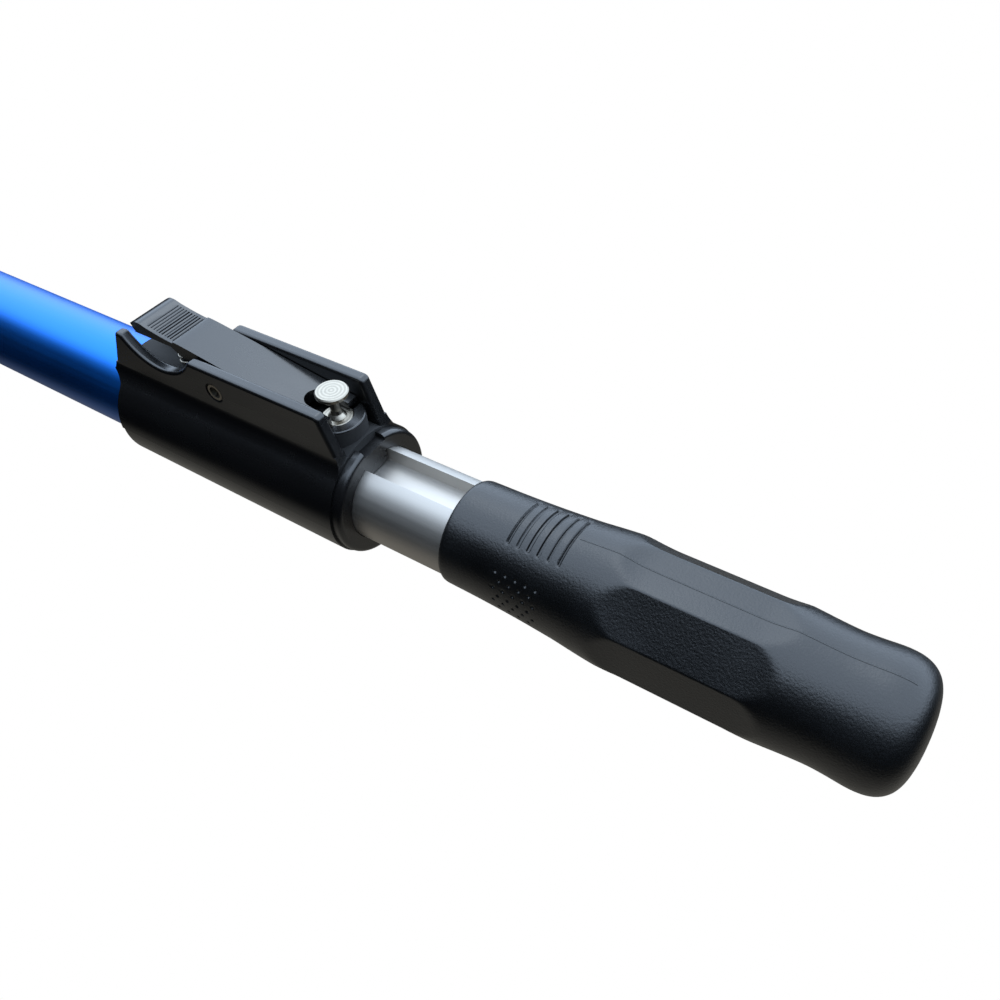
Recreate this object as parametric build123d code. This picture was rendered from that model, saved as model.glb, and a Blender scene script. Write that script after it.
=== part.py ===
from build123d import *

import os
from math import radians, tan

# Telescopic boat hook, closed length about 1.14 m.
# The pole lies along X, with the hook head towards -X and the hand grip towards +X.
# +Z is the side of the lock lever. The part is modelled from the mouth of the lock housing,
# where the inner tube comes out, and every piece is moved by CLIP_TO_MOUTH when it is written,
# so that the origin is on the pole's axis where a stowage clip holds it.
# All sizes are in millimetres.

# ---- driving sizes: tubes ----
OUTER_OD = 30.0            # blue tube, outside diameter
OUTER_WALL = 1.5
OUTER_LENGTH = 838.0
TUBE_GAP = 0.3             # radial gap between the two tubes
INNER_WALL = 1.5
CHANNEL_WIDTH = 9.7        # open channel along the top of the inner tube
CHANNEL_DEPTH = 5.1
TRAVEL = 650.0             # how far the inner tube draws out
HOLE_PITCH = 130.0         # between lock holes
HOLE_DIA = 6.4
CLIP_TO_MOUTH = 470.0      # from the clip seat to the housing's mouth

# ---- driving sizes: lock housing ----
HOUSING_WALL = 3.5
HOUSING_LENGTH = 88.7      # from the mouth back to the foot of the cheeks
BODY_SETBACK = 3.4         # the round body ends this far inside the cheeks' foot
COLLAR_DEPTH = 1.6         # the bush flange starts this far inside the mouth
COLLAR_NOSE = 1.5          # the bush flange ends this far outside the mouth
CHEEK_GAP = 13.9           # between the two cheeks, where the lever sits
CHEEK_THICK = 3.5
CHEEK_RISE = 12.3          # above the top of the round body
CHEEK_BLEND = 8.0          # fillet between a cheek and the round body
CHEEK_EDGE = 1.0           # rounding along the cheeks' outline
CHEEK_CORNER = 1.6         # rounding of the cheeks' corners, seen from the side
CHEEK_FOOT_DROP = 2.3      # foot of the cheeks below the top of the round body
HOOK_SLOPE_RUN = 6.8       # how far the cheeks' hook side end leans
HAND_SLOPE_RUN = 4.4       # how far their grip side end leans
SCALLOP_RADIUS = 16.4      # finger cut in both cheeks beside the tab
SCALLOP_DEPTH = 7.1
SCALLOP_FROM_TAB_EDGE = 12.0
BOSS_DIA = 14.8
BOSS_RISE = 4.5
BOSS_STEP = 0.7            # the boss under the fork, above the round body
PIN_RECESS = 0.6           # depth and width of the recess round each pin end
PIN_SETBACK = 0.2          # pin ends below the surface
SCREW_DIA = 3.0
SCREW_HEAD_DIA = 6.0
SCREW_HEAD_THICK = 1.8
SCREW_SLOT = 0.8
SLIP = 0.05                # radial clearance of parts that turn or slide on each other
LOOSE = 0.3                # clearance of parts that only pass each other
CUT_PAST = 1.0             # cutters run this far past the face they cut

# ---- driving sizes: lever and plunger ----
PIVOT_X = -44.3
PIVOT_RISE = 5.4           # above the top of the round body
PIVOT_DIA = 5.0
PIVOT_BORE = 3.6
PLUNGER_X = -9.7
PLUNGER_RISE = 12.65       # top of the head above the top of the round body
HEAD_DIA = 8.9
HEAD_THICK = 1.5
HEAD_EDGE = 0.35
NECK_DIA = 2.8
NECK_LENGTH = 6.8
NECK_FLARE = 1.1           # the neck grows by this much at its foot
PLUNGER_DIA = 8.8
TIP_DIA = 6.0
TIP_LENGTH = 5.4
TIP_CHAMFER = 0.6
TIP_LIFT = 0.35            # plunger tip above the channel floor, at rest
LEVER_SIDE_GAP = 0.25
LEVER_SLOPE = 8.4          # degrees, of the lever's flat top at rest
LEVER_RISE = 6.25          # top of the flat above the pivot's centre, over the pivot
HUB_FLAT = 0.66            # half width of the belly's flat under the hub, per hub radius
HUB_GAP = 0.8              # between the hub round the pivot pin and the round body
TAB_REACH = 33.8           # from the pivot to the edge of the thumb tab
TAB_THICK = 2.8
TAB_LAND = 6.0             # smooth land between the tab's edge and its first groove
TAB_LIFT = 0.4             # tab's edge above the line of the flat top
CREST_FROM_EDGE = 4.0
CREST_RISE = 1.1           # the tab's crest above its edge
ZONE_DIP = 0.8             # end of the grooves below the line of the flat top
ZONE_SAG = 0.2             # hollow of the grooved zone
GROOVE_COUNT = 10
GROOVE_PITCH = 1.05
GROOVE_WIDTH = 0.5
GROOVE_DEPTH = 0.35
GROOVE_MARGIN = 1.0
FORK_REACH = 1.2           # the fork ends this far past the plunger's axis
FORK_GAP = 0.25            # between the fork and the plunger's shoulder
FORK_NOTCH = 6.8
NOTCH_DEPTH = 6.2          # from the plunger's axis to the centre of the notch's round end
SPRING_DIA = 5.8
SPRING_WIRE = 0.7
SPRING_TURNS = 6
SPRING_FROM_TAB_EDGE = 11.5
SPRING_SEAT_RISE = 0.5
SPRING_PEG_HEIGHT = 2.5

# ---- driving sizes: guide bush and tail bush ----
BUSH_TO_TUBE = 1.0         # between the bush and the end of the blue tube
BUSH_GAP = 0.2             # radial clearance of the inner tube in the bush
FLANGE_SETBACK = 0.6       # the flange's rim inside the housing's outline
FLANGE_ROUND = 1.2
FLANGE_STEP_DROP = 2.5     # flat on top of the flange, below the top of the round body
FLANGE_STEP_WIDTH = 8.4
KEY_GAP = 0.25             # each side of the key in the channel
KEY_SETBACK = 0.7
TAIL_FLANGE = 8.0
TAIL_PLUG = 16.0
TAIL_PIN_DIA = 3.0
PLUG_GAP = 0.1
FOAM_GAP = 0.2
FOAM_LENGTH = 80.0
FOAM_END_GAP = 2.0

# ---- driving sizes: grip ----
GRIP_START = 30.1
GRIP_LENGTH = 115.3
GRIP_TUBE_DEPTH = 95.0     # how far the inner tube goes into the grip
RIM_THICK = 1.15           # grip thickness over the inner tube, rim to end
SWELL_THICK = 3.9
WAIST_THICK = 2.4
FLARE_THICK = 3.05
FLAT_SIDES = 8
FLAT_THICK = 2.3           # grip thickness in the middle of a palm flat
FLAT_START = 52.0          # from the rim to the start of the full flats
FLAT_LENGTH = 25.0
FLAT_RUN_OUT = 14.0
FLAT_LIFT = 3.3            # rise of a flat's cutter over its run-out
END_DOME = 8.0             # length of the rounded end
DOME_CURVE = ((0.5, 0.22), (0.18, 0.65))    # from the end and below the flare, per dome length
FIRST_SWELL = 0.2          # share of the swell reached before the flats start
NEAR_FULL = 0.35           # share of swell over waist still missing where the flats start
WAIST_FROM_END = 20.0
EYE_DEPTH = 0.5            # room between the inner tube's end and the grip

# ---- driving sizes: hook head ----
SHANK_LENGTH = 58.0
SHANK_EDGE = 1.0
COLLAR_LENGTH = 20.0
COLLAR_RISE = 2.2          # collar over the tube's outside
COLLAR_EDGE = 0.8
SHOULDER_RUN = 4.0         # end of the collar, narrowing towards the blade
SHOULDER_FALL = 2.5
BLADE_LENGTH = 26.0
BLADE_THICK = 18.0         # across the flats around the lanyard hole
BLADE_TAPER = 10.0
PRONG_DIA = 21.0
PRONG_PAST_HOOK = 4.0
NECK_TO_HOOK = 52.0        # from the collar to the middle of the hook's bend
HOOK_BEND = 25.0           # centre line radius of the bend
HOOK_DIA = 15.0
HOOK_TAIL = 16.0           # straight end of the hook, back towards the pole
NOSE_DIA = 27.0
NOSE_OVERLAP = 5.0         # centre of the nose from the prong's end
NOSE_SKIRT = 6.0
NOSE_WALL = 1.2
SPIGOT_DIA = 12.0
SPIGOT_LENGTH = 10.0
LANYARD_DIA = 8.0
LANYARD_FROM_COLLAR = 16.0
RIVET_DIA = 4.0
RIVET_HEAD_DIA = 7.6
RIVET_HEAD_THICK = 1.0
RIVET_GRIP = 8.0
RIVET_FROM_TUBE_END = 14.0
RIVET_PITCH = 20.0
SEAL_WIRE = 2.0
SEAL_FROM_SHANK_END = 6.0
HEAD_TO_INNER = 22.0       # between the head's shank and the pushed-in inner tube

# ---- places and sizes that follow from the driving ones: tubes and housing ----
OUTER_R = OUTER_OD / 2
OUTER_BORE_R = OUTER_R - OUTER_WALL
INNER_R = OUTER_BORE_R - TUBE_GAP
FLOOR_Z = INNER_R - CHANNEL_DEPTH
BODY_R = OUTER_R + HOUSING_WALL
CHEEK_OUT = CHEEK_GAP / 2 + CHEEK_THICK
CHEEK_TOP = BODY_R + CHEEK_RISE
CHEEK_FOOT_Z = BODY_R - CHEEK_FOOT_DROP
BODY_X0 = -HOUSING_LENGTH + BODY_SETBACK
BUSH_X0 = 2 * PLUNGER_X - BUSH_TO_TUBE
OUTER_X1 = BUSH_X0 - BUSH_TO_TUBE
OUTER_X0 = OUTER_X1 - OUTER_LENGTH
INNER_X1 = GRIP_START + GRIP_TUBE_DEPTH
HOLE_COUNT = round(TRAVEL / HOLE_PITCH) + 1
SCREW_R = SCREW_DIA / 2
SCREW_HEAD_R = SCREW_HEAD_DIA / 2
SCREW_XS = (BODY_X0 + 9, PIVOT_X + 8)
FLANGE_STEP_Z = BODY_R - FLANGE_STEP_DROP

# ---- places and sizes that follow: lever and plunger ----
HEAD_TOP = BODY_R + PLUNGER_RISE
SHOULDER_Z = HEAD_TOP - HEAD_THICK - NECK_LENGTH
TIP_Z = FLOOR_Z + TIP_LIFT
PIVOT_Z = BODY_R + PIVOT_RISE
LEVER_HALF = CHEEK_GAP / 2 - LEVER_SIDE_GAP
HUB_R = PIVOT_RISE - HUB_GAP
LEVER_TAN = tan(radians(LEVER_SLOPE))
TAB_X = PIVOT_X - TAB_REACH
ZONE_X0 = TAB_X + TAB_LAND
ZONE_LENGTH = GROOVE_COUNT * GROOVE_PITCH
FORK_END_X = PLUNGER_X + FORK_REACH
SCALLOP_X = TAB_X + SCALLOP_FROM_TAB_EDGE
SPRING_X = TAB_X + SPRING_FROM_TAB_EDGE
SPRING_SEAT_Z = BODY_R + SPRING_SEAT_RISE

# ---- places and sizes that follow: hook head and the inner tube's hidden end ----
SHANK_X1 = OUTER_X0 + SHANK_LENGTH
INNER_X0 = SHANK_X1 + HEAD_TO_INNER
COLLAR_X0 = OUTER_X0 - COLLAR_LENGTH
HOOK_X = COLLAR_X0 - NECK_TO_HOOK
PRONG_R = PRONG_DIA / 2
PRONG_X0 = HOOK_X - HOOK_BEND - HOOK_DIA / 2 - PRONG_PAST_HOOK
SPIGOT_R = SPIGOT_DIA / 2
LANYARD_X = COLLAR_X0 - LANYARD_FROM_COLLAR
RIVET_HEAD_R = RIVET_HEAD_DIA / 2
RIVET_XS = (OUTER_X0 + RIVET_FROM_TUBE_END, OUTER_X0 + RIVET_FROM_TUBE_END + RIVET_PITCH)
SEAL_X = SHANK_X1 - SEAL_FROM_SHANK_END
TAIL_PIN_X = INNER_X0 + TAIL_PLUG / 2


def rod(radius, x0, x1):
    """A cylinder along the pole's axis."""
    return Pos((x0 + x1) / 2, 0, 0) * Rot(0, 90, 0) * Cylinder(radius, x1 - x0)


def upright(radius, x, z0, z1):
    """A vertical cylinder on the pole's middle plane."""
    return Pos(x, 0, (z0 + z1) / 2) * Cylinder(radius, z1 - z0)


def cross_pin(radius, x, z, y0, y1):
    """A cylinder across the pole."""
    return Pos(x, (y0 + y1) / 2, z) * Rot(90, 0, 0) * Cylinder(radius, y1 - y0)


def slab(x0, x1, y0, y1, z0, z1):
    """A box between two corners."""
    return Pos((x0 + x1) / 2, (y0 + y1) / 2, (z0 + z1) / 2) * Box(x1 - x0, y1 - y0, z1 - z0)


def side_view(points, half_width):
    """A plate with this outline in the XZ plane, half_width to each side of the middle plane."""
    return extrude(Plane.XZ * make_face(Polyline(points, close=True)), amount=half_width, both=True)


def along_pole(sketch, x0, x1):
    """A section drawn in the YZ plane, extruded along the pole."""
    return Pos(x0, 0, 0) * extrude(Plane.YZ * sketch, amount=x1 - x0)


def turned(points):
    """A solid of revolution about the pole's axis from (x, radius) points."""
    return revolve(Plane.XZ * make_face(Polyline(points, close=True)), Axis.X)


def outer_tube():
    """Blue tube, with holes for the housing screws and the head rivets."""
    tube = rod(OUTER_R, OUTER_X0, OUTER_X1) - rod(OUTER_BORE_R, OUTER_X0 - CUT_PAST, OUTER_X1 + CUT_PAST)
    for x in SCREW_XS:
        tube -= upright(SCREW_R + SLIP, x, -OUTER_R - CUT_PAST, 0)
    for x in RIVET_XS:
        tube -= cross_pin(RIVET_DIA / 2 + SLIP, x, 0, -OUTER_R - CUT_PAST, OUTER_R + CUT_PAST)
    return tube


def channel(clearance):
    """The channel's section, open at the top, grown by a wall or a clearance."""
    width = CHANNEL_WIDTH + 2 * clearance
    floor = FLOOR_Z - clearance
    return Pos(0, (floor + 2 * INNER_R) / 2) * Rectangle(width, 2 * INNER_R - floor)


def inner_void(clearance):
    """Section of the space inside the inner tube, below the channel, less a clearance."""
    return Circle(INNER_R - INNER_WALL - clearance) - channel(INNER_WALL + clearance)


def inner_tube():
    """Silver tube with an open channel along its top and lock holes in the channel's floor."""
    section = Circle(INNER_R) - channel(0) - inner_void(0)
    tube = along_pole(section, INNER_X0, INNER_X1)
    for step in range(HOLE_COUNT):
        tube -= upright(HOLE_DIA / 2, PLUNGER_X - step * HOLE_PITCH, 0, INNER_R)
    return tube - tail_pin_hole()


def tail_pin_hole():
    """Hole across the inner tube for the tail pin."""
    return cross_pin(TAIL_PIN_DIA / 2 + SLIP, TAIL_PIN_X, 0, -INNER_R - CUT_PAST, INNER_R + CUT_PAST)


def tail_bush():
    """Plug and sliding bush at the inner tube's hidden end."""
    flange = rod(OUTER_BORE_R - 2 * SLIP, INNER_X0 - TAIL_FLANGE, INNER_X0 - SLIP)
    plug = along_pole(inner_void(PLUG_GAP), INNER_X0 - SLIP, INNER_X0 + TAIL_PLUG)
    return flange + plug - tail_pin_hole()


def float_plugs():
    """Closed-cell foam inside the inner tube, clear of the lock holes."""
    tail_x0 = INNER_X0 + TAIL_PLUG + FOAM_END_GAP
    tail = along_pole(inner_void(FOAM_GAP), tail_x0, tail_x0 + FOAM_LENGTH)
    hand = along_pole(inner_void(FOAM_GAP), GRIP_START, INNER_X1 - FOAM_END_GAP)
    return Compound([tail, hand])


def cheek_silhouette():
    """Side view of a cheek: leaning ends, rounded corners and the finger scallop."""
    hook_top_x = -HOUSING_LENGTH + HOOK_SLOPE_RUN
    hand_top_x = -COLLAR_DEPTH - HAND_SLOPE_RUN
    body_top_z = CHEEK_FOOT_Z - BODY_SETBACK
    outline = make_face(Polyline(
        [(BODY_X0, 0), (BODY_X0, body_top_z), (-HOUSING_LENGTH, CHEEK_FOOT_Z),
         (hook_top_x, CHEEK_TOP), (hand_top_x, CHEEK_TOP), (-COLLAR_DEPTH, CHEEK_FOOT_Z),
         (-COLLAR_DEPTH, 0)], close=True))
    outline -= Pos(SCALLOP_X, CHEEK_TOP - SCALLOP_DEPTH + SCALLOP_RADIUS) * Circle(SCALLOP_RADIUS)
    upper = [v for v in outline.vertices() if v.Y > CHEEK_TOP - SLIP]
    lip = [v for v in upper if v.X < SCALLOP_X]
    outline = fillet(lip, radius=CHEEK_EDGE + 3 * SLIP)
    upper = [v for v in outline.vertices() if v.Y > CHEEK_TOP - SLIP]
    corners = [v for v in upper if v.X > SCALLOP_X]
    outline = fillet(corners, radius=CHEEK_CORNER)
    foot = [v for v in outline.vertices() if abs(v.X - BODY_X0) < SLIP and v.Y > SLIP]
    return fillet(foot, radius=BODY_SETBACK / 2)


def cheek(side):
    """One cheek as a plate with rounded edges."""
    plate = extrude(Plane.XZ * cheek_silhouette(), amount=CHEEK_THICK / 2, both=True)
    rims = [e for e in plate.edges() if abs(abs(e.center().Y) - CHEEK_THICK / 2) < SLIP]
    rims = [e for e in rims if e.bounding_box().min.Z > BODY_R - 2 * BODY_SETBACK]
    plate = fillet([e for e in rims if e.bounding_box().max.Z > BODY_R], radius=CHEEK_EDGE)
    return Pos(0, side * (CHEEK_GAP + CHEEK_THICK) / 2, 0) * plate


def body_section():
    """Section across the pole: round body with fillets that run up the cheeks."""
    section = Circle(BODY_R)
    for side in (-1, 1):
        middle = side * (CHEEK_GAP + CHEEK_THICK) / 2
        section += Pos(middle, CHEEK_TOP / 2) * Rectangle(CHEEK_THICK - SLIP, CHEEK_TOP)
    outer = (CHEEK_GAP + CHEEK_THICK) / 2 + (CHEEK_THICK - SLIP) / 2
    blend = [v for v in section.vertices() if abs(abs(v.X) - outer) < SLIP / 2 and v.Y < BODY_R]
    section = fillet(blend, radius=CHEEK_BLEND)
    return section & Rectangle(2 * CHEEK_TOP, 2 * (BODY_R + CHEEK_EDGE / 2))


def housing_body():
    """Round body and its fillets, cut to the side view of the cheeks, with both cheeks."""
    silhouette = extrude(Plane.XZ * cheek_silhouette(), amount=2 * BODY_R, both=True)
    body = along_pole(body_section(), -HOUSING_LENGTH, -COLLAR_DEPTH) & silhouette
    shell = rod(BODY_R, BODY_X0, -COLLAR_DEPTH)
    rim = shell.edges().filter_by(GeomType.CIRCLE).sort_by(Axis.X)[0]
    body = fillet(rim, radius=CHEEK_EDGE) + body
    return body + cheek(-1) + cheek(1)


def plunger_boss():
    """Round boss that guides the plunger, cut down under the fork."""
    top_z = BODY_R + BOSS_RISE
    boss = upright(BOSS_DIA / 2, PLUNGER_X, OUTER_R + CUT_PAST, top_z)
    boss = fillet(boss.edges().filter_by(GeomType.CIRCLE).sort_by(Axis.Z)[-1], radius=CHEEK_EDGE / 2)
    boss -= slab(PLUNGER_X - BOSS_DIA, FORK_END_X + CUT_PAST, -BOSS_DIA, BOSS_DIA,
                 BODY_R + BOSS_STEP, 2 * top_z)
    inside = CHEEK_GAP / 2 + CHEEK_THICK / 2
    return boss & slab(PLUNGER_X - BOSS_DIA, -COLLAR_DEPTH, -inside, inside, 0, top_z)


def lock_housing():
    """Black moulded body that joins the tubes and carries the lever and the plunger."""
    peg_r = SPRING_DIA / 2 - SPRING_WIRE - LOOSE
    body = housing_body() + plunger_boss()
    body += upright(SPRING_DIA / 2 + CUT_PAST, SPRING_X, OUTER_R + CUT_PAST, SPRING_SEAT_Z)
    body += upright(peg_r, SPRING_X, OUTER_R + CUT_PAST, SPRING_SEAT_Z + SPRING_PEG_HEIGHT)
    body -= rod(OUTER_R + SLIP, -HOUSING_LENGTH - CUT_PAST, CUT_PAST)
    body -= upright(PLUNGER_DIA / 2 + SLIP, PLUNGER_X, 0, HEAD_TOP)
    body -= cross_pin(PIVOT_DIA / 2 + SLIP / 2, PIVOT_X, PIVOT_Z, -BODY_R, BODY_R)
    for side in (-1, 1):
        rim = cross_pin(PIVOT_DIA / 2 + PIN_RECESS, PIVOT_X, PIVOT_Z, CHEEK_OUT - PIN_RECESS, BODY_R)
        body -= rim if side > 0 else mirror(rim, Plane.XZ)
    for x in SCREW_XS:
        body -= upright(SCREW_R + SLIP, x, -BODY_R - CUT_PAST, 0)
        body -= upright(SCREW_HEAD_R + LOOSE, x, -BODY_R - CUT_PAST, -BODY_R + SCREW_HEAD_THICK)
    return body


def housing_screws():
    """Two self-tapping screws from below, through the housing into the blue tube."""
    screws = []
    for x in SCREW_XS:
        head_z = -BODY_R + 2 * SLIP
        head = upright(SCREW_HEAD_R, x, head_z, -BODY_R + SCREW_HEAD_THICK)
        shank = upright(SCREW_R, x, head_z, -OUTER_BORE_R - SLIP)
        slot = slab(x - SCREW_SLOT / 2, x + SCREW_SLOT / 2, -SCREW_HEAD_R, SCREW_HEAD_R,
                    -BODY_R - CUT_PAST, -BODY_R + SCREW_SLOT)
        screws.append(head + shank - slot)
    return Compound(screws)


def guide_bush():
    """Flanged bush in the mouth, with a key that runs in the inner tube's channel."""
    bush = rod(OUTER_R, BUSH_X0, -COLLAR_DEPTH + SLIP)
    flange = rod(BODY_R - FLANGE_SETBACK, -COLLAR_DEPTH + SLIP, COLLAR_NOSE)
    rim = flange.edges().filter_by(GeomType.CIRCLE).sort_by(Axis.X)[-1]
    flange = fillet(rim, radius=FLANGE_ROUND)
    step_half = FLANGE_STEP_WIDTH / 2
    flange -= slab(-COLLAR_DEPTH, COLLAR_NOSE, -step_half, step_half, FLANGE_STEP_Z, BODY_R)
    bush += flange
    bush -= rod(INNER_R + BUSH_GAP, BUSH_X0 - CUT_PAST, COLLAR_NOSE + CUT_PAST)
    key_half = CHANNEL_WIDTH / 2 - KEY_GAP
    bush += slab(-COLLAR_DEPTH - CUT_PAST, COLLAR_NOSE - KEY_SETBACK, -key_half, key_half,
                 FLOOR_Z + LOOSE, INNER_R + CUT_PAST)
    return bush - upright(PLUNGER_DIA / 2 + BUSH_GAP, PLUNGER_X, 0, BODY_R)


def lever_top(x):
    """Height of the line of the lever's flat top at x, in the rest position."""
    return PIVOT_Z + LEVER_RISE - (x - PIVOT_X) * LEVER_TAN


def tab_edge_z():
    """Height of the thumb tab's edge."""
    return lever_top(ZONE_X0 + ZONE_LENGTH) + TAB_LIFT


def under_tab_z():
    """Height of the tab's flat underside, where the spring bears."""
    return tab_edge_z() - TAB_THICK


def zone_z(share):
    """Height of the hollow grooved zone, share 0 at the land and 1 at the flat top."""
    start = tab_edge_z() + CREST_RISE / 2
    end = lever_top(ZONE_X0 + ZONE_LENGTH) - ZONE_DIP
    return start + (end - start) * share - 4 * ZONE_SAG * share * (1 - share)


def lever():
    """Rocking lever: ribbed thumb tab at the hook side, fork round the plunger's neck."""
    zone = [(ZONE_X0 + share * ZONE_LENGTH, zone_z(share)) for share in (0, 0.25, 0.5, 0.75, 1)]
    flat_x0 = (PIVOT_X + ZONE_X0 + ZONE_LENGTH) / 2
    top = Spline([(TAB_X, tab_edge_z()), (TAB_X + CREST_FROM_EDGE, tab_edge_z() + CREST_RISE)] + zone
                 + [(flat_x0, lever_top(flat_x0))], tangents=[(1, 0.5), (1, -LEVER_TAN)])
    under_z = under_tab_z()
    fork_under = SHOULDER_Z + FORK_GAP
    hub = HUB_FLAT * HUB_R
    belly = [(flat_x0, lever_top(flat_x0)), (FORK_END_X, lever_top(FORK_END_X)),
             (FORK_END_X, fork_under), (PLUNGER_X - PLUNGER_DIA / 2 - CUT_PAST, fork_under),
             (PIVOT_X + 4 * hub, PIVOT_Z - hub / 3), (PIVOT_X + hub, PIVOT_Z - hub),
             (PIVOT_X - hub, PIVOT_Z - hub), (PIVOT_X - 3 * hub, PIVOT_Z + hub / 3),
             (SPRING_X + SPRING_DIA / 2 + CUT_PAST, under_z), (TAB_X + CUT_PAST, under_z),
             (TAB_X, tab_edge_z())]
    body = extrude(Plane.XZ * make_face(top + Polyline(belly)), amount=LEVER_HALF, both=True)
    body += cross_pin(HUB_R, PIVOT_X, PIVOT_Z, -LEVER_HALF, LEVER_HALF)
    notch_r = FORK_NOTCH / 2
    notch_end = PLUNGER_X - NOTCH_DEPTH
    body -= upright(notch_r, notch_end, 0, 2 * HEAD_TOP)
    body -= slab(notch_end, 0, -notch_r, notch_r, 0, 2 * HEAD_TOP)
    body -= cross_pin(PIVOT_DIA / 2 + SLIP, PIVOT_X, PIVOT_Z, -BODY_R, BODY_R)
    groove_half = LEVER_HALF - GROOVE_MARGIN
    for index in range(GROOVE_COUNT):
        share = (index + 0.5) / GROOVE_COUNT
        x = ZONE_X0 + share * ZONE_LENGTH
        body -= slab(x - GROOVE_WIDTH / 2, x + GROOVE_WIDTH / 2, -groove_half, groove_half,
                     zone_z(share) - GROOVE_DEPTH, 2 * HEAD_TOP)
    return body


def lever_pivot_pin():
    """Tubular pin through both cheeks and the lever."""
    pin = cross_pin(PIVOT_DIA / 2, PIVOT_X, PIVOT_Z, -CHEEK_OUT + PIN_SETBACK, CHEEK_OUT - PIN_SETBACK)
    return pin - cross_pin(PIVOT_BORE / 2, PIVOT_X, PIVOT_Z, -BODY_R, BODY_R)


def lever_spring():
    """Coil spring that lifts the thumb tab."""
    radius = (SPRING_DIA - SPRING_WIRE) / 2
    height = under_tab_z() - SPRING_SEAT_Z - SPRING_WIRE - 2 * SLIP
    path = Helix(pitch=height / SPRING_TURNS, height=height, radius=radius)
    wire = sweep(Plane(path @ 0, z_dir=path % 0) * Circle(SPRING_WIRE / 2), path=path, is_frenet=True)
    return Pos(SPRING_X, 0, SPRING_SEAT_Z + SPRING_WIRE / 2 + SLIP) * wire


def plunger():
    """Turned lock plunger: head, neck, guided body and tip."""
    head = HEAD_DIA / 2
    neck = NECK_DIA / 2
    body = PLUNGER_DIA / 2
    tip = TIP_DIA / 2
    under_head = HEAD_TOP - HEAD_THICK
    body_foot = TIP_Z + TIP_LENGTH
    outline = [(0, TIP_Z), (tip - TIP_CHAMFER, TIP_Z), (tip, TIP_Z + TIP_CHAMFER),
               (tip, body_foot - HEAD_EDGE), (body - HEAD_EDGE, body_foot),
               (body, body_foot + HEAD_EDGE), (body, SHOULDER_Z - HEAD_EDGE),
               (body - HEAD_EDGE, SHOULDER_Z), (neck + NECK_FLARE, SHOULDER_Z),
               (neck + NECK_FLARE / 4, SHOULDER_Z + NECK_FLARE), (neck, SHOULDER_Z + 2 * NECK_FLARE),
               (neck, under_head - HEAD_EDGE), (neck + HEAD_EDGE, under_head),
               (head - HEAD_EDGE, under_head), (head, under_head + HEAD_EDGE),
               (head, HEAD_TOP - HEAD_EDGE), (head - HEAD_EDGE, HEAD_TOP), (0, HEAD_TOP)]
    turned_part = revolve(Plane.XZ * make_face(Polyline(outline, close=True)), Axis.Z)
    return Pos(PLUNGER_X, 0, 0) * turned_part


def grip_outline():
    """Side line of the grip from the rim's edge to the middle of its end, for a smooth curve."""
    end = GRIP_START + GRIP_LENGTH
    swell_r = INNER_R + SWELL_THICK
    waist_r = INNER_R + WAIST_THICK
    flare_r = INNER_R + FLARE_THICK
    flat_x0 = GRIP_START + FLAT_START
    dome = [(end - back * END_DOME, flare_r - drop * END_DOME) for back, drop in DOME_CURVE]
    return [(GRIP_START + RIM_THICK, INNER_R + RIM_THICK),
            (flat_x0 - 2 * FLAT_RUN_OUT, INNER_R + RIM_THICK + FIRST_SWELL * (swell_r - INNER_R)),
            (flat_x0 - FLAT_RUN_OUT, swell_r - NEAR_FULL * (swell_r - waist_r)), (flat_x0, swell_r),
            (flat_x0 + FLAT_LENGTH, swell_r), (end - WAIST_FROM_END, waist_r),
            (end - END_DOME, flare_r)] + dome + [(end, 0)]


def grip():
    """Hand grip: round rim, palm swell with eight flats, waist and rounded end."""
    curve = grip_outline()
    side = Polyline([(GRIP_START, 0), (GRIP_START, INNER_R + RIM_THICK / 2), curve[0]])
    swell = Spline(curve, tangents=[(1, 0.02), (0, -1)])
    close = Line((GRIP_START + GRIP_LENGTH, 0), (GRIP_START, 0))
    body = revolve(Plane.XZ * make_face(side + swell + close), Axis.X)
    apothem = INNER_R + FLAT_THICK
    raised = apothem + FLAT_LIFT
    flat_x0 = GRIP_START + FLAT_START
    flat_x1 = flat_x0 + FLAT_LENGTH
    cutter_outline = (Line((flat_x0, apothem), (flat_x1, apothem))
                      + TangentArc((flat_x1, apothem), (flat_x1 + FLAT_RUN_OUT, raised), tangent=(1, 0))
                      + Line((flat_x1 + FLAT_RUN_OUT, raised), (flat_x0 - FLAT_RUN_OUT, raised))
                      + TangentArc((flat_x0, apothem), (flat_x0 - FLAT_RUN_OUT, raised), tangent=(-1, 0)))
    cutter = extrude(Plane.XZ * make_face(cutter_outline), amount=2 * INNER_R, both=True)
    for index in range(FLAT_SIDES):
        body -= Rot(index * 360 / FLAT_SIDES, 0, 0) * cutter
    return body - rod(INNER_R + SLIP, GRIP_START - CUT_PAST, INNER_X1 + EYE_DEPTH)


def hook_arm_path():
    """Centre line of the hook: out of the prong, round the bend and back towards the pole."""
    bend = CenterArc((HOOK_X, HOOK_BEND), HOOK_BEND, start_angle=-90, arc_size=-180)
    tail = Line((HOOK_X, 2 * HOOK_BEND), (HOOK_X + HOOK_TAIL, 2 * HOOK_BEND))
    return Plane.XZ * (bend + tail)


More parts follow.
